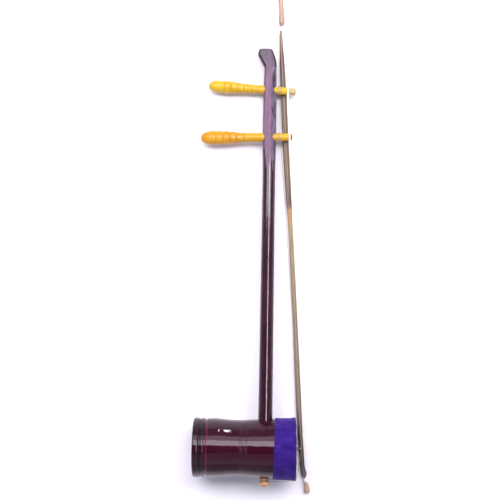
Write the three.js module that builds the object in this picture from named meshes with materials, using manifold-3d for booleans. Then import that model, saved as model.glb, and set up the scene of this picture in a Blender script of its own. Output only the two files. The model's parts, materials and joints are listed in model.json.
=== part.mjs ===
// A small two-stringed fiddle (erhu) lying on its side with its bow tucked beside it.
// Millimetres. In the fiddle's own frame +Y runs up the neck, +X points out of the skin face,
// and the axes of the neck and of the sound body cross at the origin. The finished group
// stands on z = 0, with its origin at the bottom centre of its box.
import * as THREE from "three";
import { mergeVertices } from "three/addons/utils/BufferGeometryUtils.js";
import Module from "manifold-3d";

const wasm = await Module();
wasm.setup();

// ---- driving dimensions ----
const GAP = 0.3; // left between pieces that touch
const SKIN_FACE_X = 39.1;
const SKIN_THICK = 0.6;
const REAR_X = -90.1;
const BORE_R = 31;
const RIM_R = 37.1; // widest turned ring, near the rear
const RIM_PEAK_X = -86.8;
const BODY_FRONT_R = 37.2;
const BAND_REAR_X = 10;
const BAND_R = 39.1;
const BAND_THICK = 0.9;
const BODY_SIDES = 40;

const NECK_R_BODY = 9.15;
const NECK_R_THIN = 8.15; // just below the planed stretch
const NECK_INNER_R = 7; // where it crosses the sound body
const TAIL_R = 3.2;
const TAIL_END_Y = -44;
const HEAD_TOP_Y = 511;
const HEAD_HALF_THICK = 7.3;
const FACET_DEPTH = 7.1; // from the neck's axis to each planed facet

const UPPER_PEG_Y = 458;
const UPPER_PEG_LEAN = THREE.MathUtils.degToRad(-3.5);
const LOWER_PEG_Y = 396.5;
const LOWER_PEG_LEAN = THREE.MathUtils.degToRad(1.2);
const UPPER_PEG_HOLE_R = 5.35;
const LOWER_PEG_HOLE_R = 5.95;
const PEG_SIDES = 20;

const INNER_STRING_R = 0.45;
const OUTER_STRING_R = 0.3;
const BRIDGE_HEIGHT = 7;
const BRIDGE_THICK = 3.6;
const STRING_SPREAD = 1.9; // each string's offset from the middle of the bridge
const STRING_LEAVES_OUT = 0.75; // each string leaves its peg this far outside the first turns

const STICK_TOP = 7.1; // top of the bow stick under the upper peg
const STICK_REACH = 17.6; // how far in front of the neck's axis it passes there
const HAIR_WIDTH = 2.2;
const HAIR_THICK = 0.8;
const HAIR_OFFSET = 3; // the hair leaves each tie on the far side of the stick

// ---- materials ----
const finish = (color, roughness, metalness = 0) =>
  new THREE.MeshStandardMaterial({ color, roughness, metalness });

const LACQUER = [0x4a1428, 0.2];
const NECK_WOOD = [0x3a1220, 0.25];
const PEG_YELLOW = [0xf2b92c, 0.35];
const VELVET = [0x4a2a9c, 0.95];
const SNAKESKIN = [0xb9a98a, 0.6];
const DARK_WOOD = [0x2a1a16, 0.5];
const STEEL = [0xb8b8bc, 0.3, 1];
const BARE_WOOD = [0xc79a62, 0.6];
const BAMBOO = [0x9c8467, 0.5];
const HORSEHAIR = [0xefeae0, 0.7];
const THREAD = [0xf0ece6, 0.9];

// ---- geometry helpers ----
// Turns [height, radius] pairs about +Y. A profile starts and ends on the axis, or closes on itself.
function turned(profile, sides) {
  const points = profile.map(([height, radius]) => new THREE.Vector2(radius, height));
  return new THREE.LatheGeometry(points, sides);
}

// The same, about +X: for the sound body and all that sits on its axis, and for the pegs.
function turnedAlongX(profile, sides) {
  return turned(profile, sides).rotateZ(-Math.PI / 2);
}

function toSolid(geometry) {
  const bare = geometry.clone();
  bare.deleteAttribute("normal");
  bare.deleteAttribute("uv");
  const merged = mergeVertices(bare, 1e-4);
  return new wasm.Manifold(
    new wasm.Mesh({
      numProp: 3,
      vertProperties: merged.attributes.position.array,
      triVerts: new Uint32Array(merged.index.array),
    }),
  );
}

function toGeometry(solid) {
  const mesh = solid.getMesh();
  const geometry = new THREE.BufferGeometry();
  geometry.setAttribute("position", new THREE.BufferAttribute(mesh.vertProperties, 3));
  geometry.setIndex(new THREE.BufferAttribute(mesh.triVerts, 1));
  geometry.computeVertexNormals();
  return geometry;
}

const joined = (...solids) => solids.reduce((whole, next) => whole.add(next));

// A smooth curve through [place, value] pairs, read at any place between them.
function smoothThrough(pairs) {
  return (place) => {
    const last = pairs.length - 1;
    let i = pairs.findIndex(([at]) => at >= place);
    if (i < 0) i = last;
    if (i === 0) return pairs[0][1];
    const [before, after] = [pairs[i - 1], pairs[i]];
    const slopeAt = (k) => {
      const [low, high] = [pairs[Math.max(k - 1, 0)], pairs[Math.min(k + 1, last)]];
      return (high[1] - low[1]) / (high[0] - low[0]);
    };
    const span = after[0] - before[0];
    const t = (place - before[0]) / span;
    const [t2, t3] = [t * t, t * t * t];
    return (
      (2 * t3 - 3 * t2 + 1) * before[1] +
      (t3 - 2 * t2 + t) * span * slopeAt(i - 1) +
      (3 * t2 - 2 * t3) * after[1] +
      (t3 - t2) * span * slopeAt(i)
    );
  };
}

// Turns an extrusion drawn in its own x and y so that they become +Y and +Z, and its depth +X.
const standUp = (geometry) => geometry.rotateY(Math.PI / 2).rotateX(Math.PI / 2);

// A taut wire through corner points: straight runs with a small ball at each corner.
function wire(corners, radius) {
  const points = corners.map((corner) => new THREE.Vector3(...corner));
  const runs = [];
  for (let i = 1; i < points.length; i++) {
    const along = points[i].clone().sub(points[i - 1]);
    const run = new THREE.CylinderGeometry(radius, radius, along.length(), 8);
    const turn = new THREE.Quaternion().setFromUnitVectors(
      new THREE.Vector3(0, 1, 0),
      along.clone().normalize(),
    );
    run.applyQuaternion(turn);
    run.translate(...points[i - 1].clone().addScaledVector(along, 0.5).toArray());
    runs.push(toSolid(run));
    if (i < points.length - 1) {
      const ball = new THREE.OctahedronGeometry(radius * 1.05, 1);
      runs.push(toSolid(ball.translate(...points[i].toArray())));
    }
  }
  return joined(...runs);
}

function mesh(name, geometry, look) {
  const made = new THREE.Mesh(geometry, finish(...look));
  made.name = name;
  return made;
}

// ---- sound body ----
// The outer outline, rear to front: two turned beads with grooves between them, then the long waist.
const REAR_RINGS = [
  [REAR_X, 35.9],
  [-89.3, 36.7],
  [RIM_PEAK_X, RIM_R],
  [-83.6, 36.7],
  [-82.5, 36.3],
  [-82.1, 35.4],
  [-81.5, 36.4],
  [-80.6, 36.4],
  [-80.2, 35.8],
  [-79.4, 36.6],
  [-77.2, 36.7],
  [-76, 36.2],
  [-75.5, 35.2],
  [-73.6, 35.2],
  [-73, 36.2],
];
const bodyRadius = smoothThrough([
  [-73, 36.2],
  [-62, 36.4],
  [-50, 35.4],
  [-38, 34.6],
  [-28, 34.6],
  [-15, 35.4],
  [BAND_REAR_X, 36.8],
  [38.2, BODY_FRONT_R],
]);
const BODY_FRONT_X = SKIN_FACE_X - SKIN_THICK - GAP;

function soundBody() {
  const outline = [...REAR_RINGS];
  const steps = 14;
  const waistStart = -73;
  for (let i = 1; i <= steps; i++) {
    const x = THREE.MathUtils.lerp(waistStart, BODY_FRONT_X, i / steps);
    outline.push([x, bodyRadius(x)]);
  }
  const bore = [
    [BODY_FRONT_X, BORE_R],
    [REAR_X + 4, BORE_R],
    [REAR_X, BORE_R + 1.5],
  ];
  const profile = [...outline, ...bore, outline[0]];
  const neckHole = new THREE.CylinderGeometry(NECK_R_BODY + GAP, NECK_R_BODY + GAP, 30, 32);
  const tailHole = new THREE.CylinderGeometry(TAIL_R + GAP, TAIL_R + GAP, 30, 20);
  return toGeometry(
    toSolid(turnedAlongX(profile, BODY_SIDES))
      .subtract(toSolid(neckHole.translate(0, BORE_R + 2, 0)))
      .subtract(toSolid(tailHole.translate(0, -BORE_R - 2, 0))),
  );
}

// The snakeskin: a thin disc over the front rim, its edge turned back over the side.
function snakeskin() {
  const inner = BODY_FRONT_R + GAP;
  const outer = inner + SKIN_THICK;
  const lipX = SKIN_FACE_X - 4;
  const profile = [
    [SKIN_FACE_X - SKIN_THICK, 0],
    [SKIN_FACE_X - SKIN_THICK, inner],
    [lipX, inner],
    [lipX, outer],
    [SKIN_FACE_X - 0.4, outer],
    [SKIN_FACE_X, outer - 0.4],
    [SKIN_FACE_X, 0],
  ];
  return turnedAlongX(profile, BODY_SIDES);
}

// The cloth band glued round the front of the body, over the edge of the skin.
function clothBand() {
  const lipX = SKIN_FACE_X - 4;
  const rearInner = bodyRadius(BAND_REAR_X) + GAP;
  const lipInner = BODY_FRONT_R + 2 * GAP + SKIN_THICK;
  const rearOuter = rearInner + BAND_THICK;
  const frontX = SKIN_FACE_X - 0.2;
  const profile = [
    [BAND_REAR_X, rearInner],
    [BAND_REAR_X, rearOuter],
    [frontX - 8, BAND_R - 0.1],
    [frontX, BAND_R],
    [frontX, lipInner],
    [lipX - GAP, lipInner],
    [lipX - GAP, BODY_FRONT_R + GAP],
    [BAND_REAR_X, rearInner],
  ];
  return turnedAlongX(profile, BODY_SIDES);
}

// ---- neck ----
// Round below, planed to two facets a side above the lower peg, with a head bent to the rear.
const SIDE_FACET = { turn: THREE.MathUtils.degToRad(-12), startY: 352 };
const FRONT_FACET = { turn: THREE.MathUtils.degToRad(36), startY: 364 };
const PLANING_FULL_Y = 386;
const neckRadius = smoothThrough([
  [34, NECK_R_BODY],
  [87, 8.9],
  [147, 8.65],
  [208, 8.5],
  [287, 8.25],
  [SIDE_FACET.startY, NECK_R_THIN],
  [396, 8.65],
  [445, 8.5],
  [470, 8.15],
  [489, 8.1],
]);

function headBlock() {
  const outline = new THREE.Shape();
  outline.moveTo(-7.6, 478);
  outline.lineTo(7.9, 478);
  outline.lineTo(7.9, 491);
  outline.quadraticCurveTo(7.4, 500, 1.8, HEAD_TOP_Y);
  outline.lineTo(-14.4, HEAD_TOP_Y);
  outline.lineTo(-16.2, 504.5);
  outline.lineTo(-8.2, 489);
  const depth = 2 * HEAD_HALF_THICK;
  const bevel = 1.6;
  const block = new THREE.ExtrudeGeometry(outline, {
    depth: depth - 2 * bevel,
    bevelEnabled: true,
    bevelThickness: bevel,
    bevelSize: 1.3,
    bevelOffset: -1.3,
    bevelSegments: 1,
    curveSegments: 4,
  });
  return block.translate(0, 0, -depth / 2 + bevel);
}

// A long wedge that planes one facet, `turn` radians round the neck from its side (+Z), from
// `startY` up. It runs out below the bent head.
function planingCut(turn, startY) {
  const far = 40;
  const runOutY = 486;
  const clearY = 500;
  const outline = new THREE.Shape([
    new THREE.Vector2(startY, neckRadius(startY) + 0.05),
    new THREE.Vector2(PLANING_FULL_Y, FACET_DEPTH),
    new THREE.Vector2(runOutY, FACET_DEPTH),
    new THREE.Vector2(clearY, FACET_DEPTH + 4),
    new THREE.Vector2(clearY, far),
    new THREE.Vector2(startY, far),
  ]);
  const width = 60;
  const cut = new THREE.ExtrudeGeometry(outline, { depth: width, bevelEnabled: false });
  return standUp(cut.translate(0, 0, -width / 2)).rotateY(turn);
}

function neck() {
  const profile = [
    [TAIL_END_Y, 0],
    [TAIL_END_Y, TAIL_R],
    [-BORE_R + 1, TAIL_R],
    [-BORE_R + 1, NECK_INNER_R],
    [BORE_R - 1, NECK_INNER_R],
    [BORE_R - 1, NECK_R_BODY],
  ];
  const neckTop = 490;
  const steps = 16;
  for (let i = 0; i <= steps; i++) {
    const y = THREE.MathUtils.lerp(BORE_R + 3, neckTop, i / steps);
    profile.push([y, neckRadius(y)]);
  }
  profile.push([neckTop, 0]);
  let whole = toSolid(turned(profile, 32)).add(toSolid(headBlock()));
  // Both sides get a broad facet, tipped a little to the rear, and a steeper one towards the front.
  for (const { turn, startY } of [SIDE_FACET, FRONT_FACET])
    for (const sideTurn of [turn, Math.PI - turn])
      whole = whole.subtract(toSolid(planingCut(sideTurn, startY)));
  for (const [y, lean, holeR] of [
    [UPPER_PEG_Y, UPPER_PEG_LEAN, UPPER_PEG_HOLE_R],
    [LOWER_PEG_Y, LOWER_PEG_LEAN, LOWER_PEG_HOLE_R],
  ]) {
    const hole = new THREE.CylinderGeometry(holeR, holeR, 60, 24);
    hole.rotateZ(Math.PI / 2 + lean).translate(0, y, 0);
    whole = whole.subtract(toSolid(hole));
  }
  return toGeometry(whole);
}

// ---- tail knob ----
const KNOB_TOP_Y = -37.1;
const KNOB_END_Y = -47.6;
const KNOB_GROOVE_R = 4.8;

function tailKnob() {
  const socketEnd = TAIL_END_Y - 0.4;
  const profile = [
    [KNOB_END_Y, 0],
    [KNOB_END_Y, 4.6],
    [-45.4, 6.6],
    [-42.2, 7.1],
    [-41.3, KNOB_GROOVE_R],
    [-38.8, KNOB_GROOVE_R],
    [-38.5, 6.2],
    [KNOB_TOP_Y, 6.2],
    [KNOB_TOP_Y, TAIL_R + GAP],
    [socketEnd, TAIL_R + GAP],
    [socketEnd, 0],
  ];
  return turned(profile, 8).rotateY(Math.PI / 8);
}

// ---- pegs ----
// [distance along the peg, radius], handle end first; the neck's axis is at zero.
const UPPER_PEG = {
  outline: [
    [-79.7, 0],
    [-78.8, 3],
    [-76, 5.5],
    [-72.5, 7.1],
    [-67, 7.7],
    [-61, 7.9],
    [-55, 8.2],
    [-48, 7.6],
    [-38, 6.6],
    [-30, 6.3],
    [-20, 5.7],
    [-12, 5.2],
    [-8, 5.05],
    [9, 4.9],
    [20, 4.8],
    [29, 4.75],
    [32, 4.3],
    [33.3, 2.8],
    [33.6, 0],
  ],
  grooves: [-58.9, -50.5, -41.5, -33.2, -28.5, -23.3, -16],
};
const LOWER_PEG = {
  outline: [
    [-88.4, 0],
    [-87.8, 3.1],
    [-85.5, 5.7],
    [-80.5, 7.9],
    [-74.2, 8.9],
    [-66, 8.75],
    [-56, 8.4],
    [-46, 7.6],
    [-36, 6.4],
    [-24, 5.9],
    [-12, 5.75],
    [-8, 5.6],
    [9, 5.2],
    [20, 4.95],
    [26, 4.8],
    [28.5, 4.2],
    [29.6, 2.6],
    [29.9, 0],
  ],
  grooves: [-68.8, -59.8, -50.8, -42.4, -32.7],
};
const GROOVE_DEPTH = 0.6;
const GROOVE_HALF = 0.9;

function radiusOn(outline, x) {
  const i = outline.findIndex(([at]) => at > x);
  const [before, after] = [outline[i - 1], outline[i]];
  return THREE.MathUtils.mapLinear(x, before[0], after[0], before[1], after[1]);
}

function peg({ outline, grooves }) {
  const notches = grooves.flatMap((x) => [
    [x - GROOVE_HALF, radiusOn(outline, x - GROOVE_HALF)],
    [x, radiusOn(outline, x) - GROOVE_DEPTH],
    [x + GROOVE_HALF, radiusOn(outline, x + GROOVE_HALF)],
  ]);
  const clearOfGrooves = ([x]) => grooves.every((g) => Math.abs(x - g) > GROOVE_HALF);
  const profile = [...outline.filter(clearOfGrooves), ...notches].sort((a, b) => a[0] - b[0]);
  return turnedAlongX(profile, PEG_SIDES);
}

// Turns of string wound side by side round a peg, as one ring with a rib for each turn.
const WINDING_TURNS = 4;
const INNER_WINDING_X = 10;
const OUTER_WINDING_X = 11;
const windingBaseR = (outline, startX) => radiusOn(outline, startX) + GAP;

function winding({ outline }, startX, stringR) {
  const pitch = 2 * stringR;
  const baseR = windingBaseR(outline, startX);
  const profile = [[startX, baseR]];
  for (let turn = 0; turn < WINDING_TURNS; turn++) {
    const x = startX + turn * pitch;
    profile.push([x, baseR + 0.5 * pitch]);
    profile.push([x + 0.5 * pitch, baseR + pitch]);
  }
  const endX = startX + WINDING_TURNS * pitch;
  profile.push([endX, baseR + 0.5 * pitch]);
  profile.push([endX, baseR]);
  profile.push([startX, baseR]);
  return turnedAlongX(profile, PEG_SIDES);
}

// ---- bridge and strings ----
const BRIDGE_FOOT_X = SKIN_FACE_X + GAP;
const BRIDGE_TOP_X = BRIDGE_FOOT_X + BRIDGE_HEIGHT;

function bridge() {
  const outline = new THREE.Shape();
  outline.moveTo(-8, 0);
  outline.lineTo(-3.2, 0);
  outline.quadraticCurveTo(-3, 3, 0, 3);
  outline.quadraticCurveTo(3, 3, 3.2, 0);
  outline.lineTo(8, 0);
  outline.lineTo(7.6, 1.6);
  outline.quadraticCurveTo(4, 2.6, 3.6, BRIDGE_HEIGHT);
  outline.lineTo(-3.6, BRIDGE_HEIGHT);
  outline.quadraticCurveTo(-4, 2.6, -7.6, 1.6);
  const block = new THREE.ExtrudeGeometry(outline, {
    depth: BRIDGE_THICK,
    bevelEnabled: false,
    curveSegments: 4,
  });
  // The outline's width comes to run along +Z, its height along +X and its depth along +Y.
  block.translate(0, 0, -BRIDGE_THICK / 2).rotateX(-Math.PI / 2).rotateY(-Math.PI / 2);
  return block.translate(BRIDGE_FOOT_X, 0, 0);
}

// From its winding a string runs over the bridge, down over the front edge and round the tail knob.
// `side` is +1 or -1: the side of the neck that it lies on.
function string({ pegY, startX, baseR, radius, side, loopY }) {
  const pegSideZ = baseR + radius + STRING_LEAVES_OUT;
  const bridgeZ = side * STRING_SPREAD;
  const overBridgeX = BRIDGE_TOP_X + GAP + radius;
  const edgeY = -BAND_R - GAP - radius;
  const edgeX = SKIN_FACE_X + GAP + radius;
  const loopR = KNOB_GROOVE_R + GAP + radius;
  const run = wire(
    [
      [startX, pegY - 2, side * pegSideZ],
      [overBridgeX, BRIDGE_THICK / 2, bridgeZ],
      [overBridgeX, -BRIDGE_THICK / 2, bridgeZ],
      [edgeX, edgeY, bridgeZ],
      [0, loopY, side * loopR],
    ],
    radius,
  );
  const loop = new THREE.TorusGeometry(loopR, radius, 8, 16);
  loop.rotateX(Math.PI / 2).translate(0, loopY, 0);
  return toGeometry(run.add(toSolid(loop)));
}

// ---- bow ----
// Its stick lies on the table. Places are [distance up the neck, value].
const BOW_TIP_Y = 582.5;
const BOW_HEEL_Y = -64.6;
const stickReach = smoothThrough([
  [BOW_HEEL_Y, 56.3],
  [-55, 55.8],
  [-48, 53.6],
  [-40, 51.9],
  [-22, 49.2],
  [4, 46.9],
  [36, 44.6],
  [82, 42],
  [135, 39.2],
  [187, 36],
  [239, 32.4],
  [291, 28.7],
  [330, 25.7],
  [382, 22.1],
  [447, 18.2],
  [486, 15.9],
  [512, 14.6],
  [535, 13.9],
  [559, 13.7],
  [BOW_TIP_Y, 11.6],
]);
const caneRadius = smoothThrough([
  [BOW_HEEL_Y, 3.6],
  [-60, 4],
  [-35, 3.7],
  [0, 3.2],
  [36, 3.5],
  [110, 3.75],
  [187, 3.45],
  [250, 3],
  [291, 3],
  [302, 3.3],
  [307, 3.9],
  [312, 3.6],
  [382, 3.95],
  [447, 3.7],
  [468, 3.5],
  [512, 2.8],
  [535, 2.8],
  [548, 3.7],
  [560, 3.1],
  [BOW_TIP_Y, 2.8],
]);
const NOTCH_R = 1.6;
const TIP_NOTCH = { from: 536, to: 542 };
const HEEL_NOTCH = { from: -51, to: -45.5 };

// The cane is cut down to a thin waist where the hair is tied at each end.
const NOTCH_SHOULDER = 5;
function stickRadius(y) {
  let radius = caneRadius(y);
  for (const { from, to } of [TIP_NOTCH, HEEL_NOTCH]) {
    const outside = Math.max(from - y, y - to, 0) / NOTCH_SHOULDER;
    if (outside < 1) radius = THREE.MathUtils.lerp(NOTCH_R, radius, outside);
  }
  return radius;
}

// Rings stand at even steps, and exactly at the ends of each notch and of its shoulders.
function stickStations() {
  const evenSteps = 46;
  const notchEdges = [TIP_NOTCH, HEEL_NOTCH].flatMap(({ from, to }) => [
    from - NOTCH_SHOULDER,
    from,
    to,
    to + NOTCH_SHOULDER,
  ]);
  const even = [];
  for (let i = 0; i <= evenSteps; i++) {
    const y = THREE.MathUtils.lerp(BOW_HEEL_Y, BOW_TIP_Y, i / evenSteps);
    if (notchEdges.every((edge) => Math.abs(edge - y) > 4)) even.push(y);
  }
  return [...even, ...notchEdges].sort((a, b) => a - b);
}

function bowStick() {
  const stations = stickStations();
  const rings = stations.length - 1;
  const geometry = new THREE.CylinderGeometry(1, 1, rings, 10, rings);
  const position = geometry.attributes.position;
  for (let i = 0; i < position.count; i++) {
    const y = stations[Math.round(position.getY(i) + rings / 2)];
    const radius = stickRadius(y);
    const x = stickReach(y) + radius * position.getX(i);
    position.setXYZ(i, x, y, caneRadius(y) + radius * position.getZ(i));
  }
  return toGeometry(toSolid(geometry));
}

// Thread wound round a notch.
const BINDING_R = 2.7;
function bowBinding({ from, to }) {
  const middle = (from + to) / 2;
  const inner = NOTCH_R + GAP;
  const profile = [
    [from, inner],
    [from, BINDING_R - 0.3],
    [from + 0.6, BINDING_R],
    [to - 0.6, BINDING_R],
    [to, BINDING_R - 0.3],
    [to, inner],
    [from, inner],
  ];
  const lean = Math.atan2(stickReach(to) - stickReach(from), to - from);
  const ring = turned(profile, 16).translate(0, -middle, 0).rotateZ(-lean);
  return ring.translate((stickReach(from) + stickReach(to)) / 2, middle, caneRadius(middle));
}

// ---- assembly ----
const body = new THREE.Group();
body.add(
  mesh("sound_body", soundBody(), LACQUER),
  mesh("snakeskin", snakeskin(), SNAKESKIN),
  mesh("cloth_band", clothBand(), VELVET),
);

const neckGroup = new THREE.Group();
neckGroup.add(mesh("neck", neck(), NECK_WOOD), mesh("tail_knob", tailKnob(), BARE_WOOD));

function pegGroup(name, shape, y, lean, windingName, windingGeometry) {
  const group = new THREE.Group();
  group.position.y = y;
  group.rotation.z = lean;
  group.add(mesh(name, peg(shape), PEG_YELLOW), mesh(windingName, windingGeometry, STEEL));
  return group;
}
const upperPeg = pegGroup(
  "upper_peg",
  UPPER_PEG,
  UPPER_PEG_Y,
  UPPER_PEG_LEAN,
  "inner_string_winding",
  winding(UPPER_PEG, INNER_WINDING_X, INNER_STRING_R),
);
const lowerPeg = pegGroup(
  "lower_peg",
  LOWER_PEG,
  LOWER_PEG_Y,
  LOWER_PEG_LEAN,
  "outer_string_winding",
  winding(LOWER_PEG, OUTER_WINDING_X, OUTER_STRING_R),
);

const innerString = {
  pegY: UPPER_PEG_Y,
  startX: INNER_WINDING_X + WINDING_TURNS * 2 * INNER_STRING_R + GAP,
  baseR: windingBaseR(UPPER_PEG.outline, INNER_WINDING_X),
  radius: INNER_STRING_R,
  side: -1,
  loopY: -39.5,
};
const outerString = {
  pegY: LOWER_PEG_Y,
  startX: OUTER_WINDING_X + WINDING_TURNS * 2 * OUTER_STRING_R + GAP,
  baseR: windingBaseR(LOWER_PEG.outline, OUTER_WINDING_X),
  radius: OUTER_STRING_R,
  side: 1,
  loopY: -40.6,
};
const stringing = new THREE.Group();
stringing.add(
  mesh("bridge", bridge(), DARK_WOOD),
  mesh("inner_string", string(innerString), STEEL),
  mesh("outer_string", string(outerString), STEEL),
);

// The fiddle lies on the rear ring and the band, with its upper peg on the bow stick.
const fiddle = new THREE.Group();
const ringToBand = SKIN_FACE_X - RIM_PEAK_X;
const roll = Math.asin((BAND_R - RIM_R) / ringToBand);
const axisHeight = RIM_R + ((BAND_R - RIM_R) * -RIM_PEAK_X) / ringToBand;
const pegRadiusOnStick = radiusOn(UPPER_PEG.outline, STICK_REACH);
const tilt = Math.asin((axisHeight - STICK_TOP - GAP - pegRadiusOnStick) / UPPER_PEG_Y);
fiddle.rotation.set(-tilt, -roll, 0, "XYZ");
fiddle.position.z = axisHeight;
fiddle.add(body, neckGroup, upperPeg, lowerPeg, stringing);

// The hair is a flat hank that lies over the tips of both pegs, tied at each end of the stick.
function bowHair() {
  const overPeg = (pegY, outline, reach) => {
    const axisZ = axisHeight - pegY * Math.sin(tilt) + reach * Math.sin(roll);
    return axisZ + radiusOn(outline, reach) + 2 * GAP;
  };
  const tipY = TIP_NOTCH.from;
  const heelY = HEEL_NOTCH.to;
  const overTie = (y) => caneRadius(y) + BINDING_R + 2 * GAP;
  const route = [
    { y: heelY, x: stickReach(heelY) + HAIR_OFFSET, z: overTie(heelY) },
    { y: LOWER_PEG_Y, x: 25.8, z: overPeg(LOWER_PEG_Y, LOWER_PEG.outline, 25 - HAIR_WIDTH) },
    { y: UPPER_PEG_Y, x: 22.8, z: overPeg(UPPER_PEG_Y, UPPER_PEG.outline, 23 - HAIR_WIDTH) },
    { y: tipY, x: stickReach(tipY) + HAIR_OFFSET, z: overTie(tipY) },
  ];
  const above = route.map(({ y, z }) => new THREE.Vector2(y, z + HAIR_THICK));
  const below = route.map(({ y, z }) => new THREE.Vector2(y, z));
  const ribbon = new THREE.ExtrudeGeometry(new THREE.Shape([...below, ...above.reverse()]), {
    depth: HAIR_WIDTH,
    bevelEnabled: false,
  });
  // The outline's own x and y become +Y and +Z, its depth runs along X and follows the route.
  const position = ribbon.attributes.position;
  for (let i = 0; i < position.count; i++) {
    const y = position.getX(i);
    const stop = route.reduce((best, next) => (Math.abs(next.y - y) < Math.abs(best.y - y) ? next : best));
    position.setXYZ(i, stop.x - HAIR_WIDTH / 2 + position.getZ(i), y, position.getY(i));
  }
  return toGeometry(toSolid(ribbon));
}

const bow = new THREE.Group();
bow.add(
  mesh("bow_stick", bowStick(), BAMBOO),
  mesh("bow_hair", bowHair(), HORSEHAIR),
  mesh("bow_tip_binding", bowBinding(TIP_NOTCH), THREAD),
  mesh("bow_heel_binding", bowBinding(HEEL_NOTCH), THREAD),
);

const erhu = new THREE.Group();
erhu.add(fiddle, bow);
erhu.updateMatrixWorld(true);
const middle = new THREE.Box3().setFromObject(erhu, true).getCenter(new THREE.Vector3());
erhu.position.set(-middle.x, -middle.y, 0);

export default erhu;
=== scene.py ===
import json
import math
import random

import bmesh
import bpy
from mathutils import Matrix, Vector, noise


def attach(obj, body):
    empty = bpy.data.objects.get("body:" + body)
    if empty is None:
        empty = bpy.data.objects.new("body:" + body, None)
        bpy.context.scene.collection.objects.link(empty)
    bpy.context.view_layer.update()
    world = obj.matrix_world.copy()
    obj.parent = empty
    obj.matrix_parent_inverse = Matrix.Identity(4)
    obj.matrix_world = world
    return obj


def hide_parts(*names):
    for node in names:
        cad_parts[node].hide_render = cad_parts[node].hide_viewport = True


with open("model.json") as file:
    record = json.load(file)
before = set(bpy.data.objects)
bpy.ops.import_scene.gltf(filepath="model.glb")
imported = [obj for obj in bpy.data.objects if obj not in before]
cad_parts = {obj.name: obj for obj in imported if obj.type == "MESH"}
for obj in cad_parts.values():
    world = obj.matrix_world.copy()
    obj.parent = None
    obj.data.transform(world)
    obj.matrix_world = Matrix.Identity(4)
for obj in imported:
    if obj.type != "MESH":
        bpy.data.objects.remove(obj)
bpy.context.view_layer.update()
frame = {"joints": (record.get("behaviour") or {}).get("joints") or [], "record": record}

# A small erhu lying on its side with its bow beside it. Shapes are worked out in millimetres in three
# frames: the fiddle's (+Y up the neck, +X out of the skin face, +Z to its upper side), each peg's (+X along
# it towards its tip) and the bow's (+Y towards its tip, level with the table).
scene = bpy.context.scene
MM = 0.001

# ---- driving dimensions, in millimetres ----
SKIN_FACE_X = 39.1
SKIN_THICK = 0.6
REAR_X = -90.1
BORE_R = 31.0
BODY_FRONT_R = 37.2
BODY_FRONT_X = 38.2
BAND_R = 39.1

NECK_R_BODY = 9.15
NECK_INNER_R = 7.0
TAIL_R = 3.2
TAIL_END_Y = -44.0
FACET_DEPTH = 7.1
PLANING_FULL_Y = 386.0
ALL_PLANED_Y = 381.0
HEAD_TOP_Y = 511.0
RIDGE_X = 4.2  # where the two planed facets meet
WORN_RIDGE_Y = 466.0  # the ridge is dark and worn round the upper peg

UPPER_PEG_Y = 458.0
LOWER_PEG_Y = 396.5
UPPER_PEG_HOLE_R = 5.2
LOWER_PEG_HOLE_R = 5.75
INNER_STRING_R = 0.45
OUTER_STRING_R = 0.3
TAUT_SHARE = 0.7  # a taut string is this much thinner than its turns on the peg
WINDING_TURNS = 5

BRIDGE_FOOT_X = SKIN_FACE_X + 0.05
BRIDGE_HEIGHT = 7.2
BRIDGE_THICK = 3.6
STRING_SPREAD = 1.9

BOW_TIP_Y = 582.5
BOW_HEEL_Y = -64.6
TIP_NOTCH = (536.0, 542.0)
HEEL_NOTCH = (-51.0, -45.5)
NOTCH_R = 1.6
NOTCH_SHOULDER = 5.0
HEEL_WEDGE = 11.0  # the heel widens from its notch to its end


# ---- frames ----
def named(rows, name):
    return next(row for row in rows if row["name"] == name)


def axes_at(origin, x_axis, y_axis):
    """A frame at origin with that X, and a Y as near to y_axis as it can be."""
    x_axis = x_axis.normalized()
    y_axis = (y_axis - y_axis.project(x_axis)).normalized()
    turn = Matrix((x_axis, y_axis, x_axis.cross(y_axis))).transposed()
    return Matrix.Translation(origin) @ turn.to_4x4()


UPPER_HINGE = named(frame["joints"], "upper_peg_turn")
LOWER_HINGE = named(frame["joints"], "lower_peg_turn")
UPPER_PEG_POS = Vector(UPPER_HINGE["pos_m"])
LOWER_PEG_POS = Vector(LOWER_HINGE["pos_m"])
UP_NECK = (UPPER_PEG_POS - LOWER_PEG_POS).normalized()
CROSSING = UPPER_PEG_POS - UP_NECK * UPPER_PEG_Y * MM  # where the axes of neck and sound body cross
OUT_OF_SKIN = -Vector(named(frame["record"]["mounts"], "rear_rim")["axis"])
FIDDLE = axes_at(CROSSING, OUT_OF_SKIN, UP_NECK)
LEVEL = axes_at(CROSSING, OUT_OF_SKIN, Vector((0, 1, 0)))  # the same without the neck's slope: turned pieces
UPPER_PEG = axes_at(UPPER_PEG_POS, Vector(UPPER_HINGE["axis"]), UP_NECK)
LOWER_PEG = axes_at(LOWER_PEG_POS, Vector(LOWER_HINGE["axis"]), UP_NECK)
BOW = Matrix.Translation((CROSSING.x, CROSSING.y, 0))


# ---- small helpers ----
def add_object(name, data):
    made = bpy.data.objects.new(name, data)
    scene.collection.objects.link(made)
    return made


def add_node(tree, kind, inputs, **settings):
    """A node with its settings and its inputs, each a value or another node's output."""
    made = tree.nodes.new(kind)
    for key, value in settings.items():
        setattr(made, key, value)
    for key, value in dict(inputs).items():
        if isinstance(value, bpy.types.NodeSocket):
            tree.links.new(value, made.inputs[key])
        else:
            made.inputs[key].default_value = value
    return made


def hump(place, middle, width):
    """A smooth rise from 0 to 1 at the middle."""
    return math.exp(-(((place - middle) / width) ** 2))


def clipped(value):
    return min(max(value, 0.0), 1.0)


def eased(t):
    return t * t * (3 - 2 * t)


def round_turns(sides, start=0.0):
    """Evenly spaced angles round a circle."""
    return [start + 2 * math.pi * j / sides for j in range(sides)]


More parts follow.
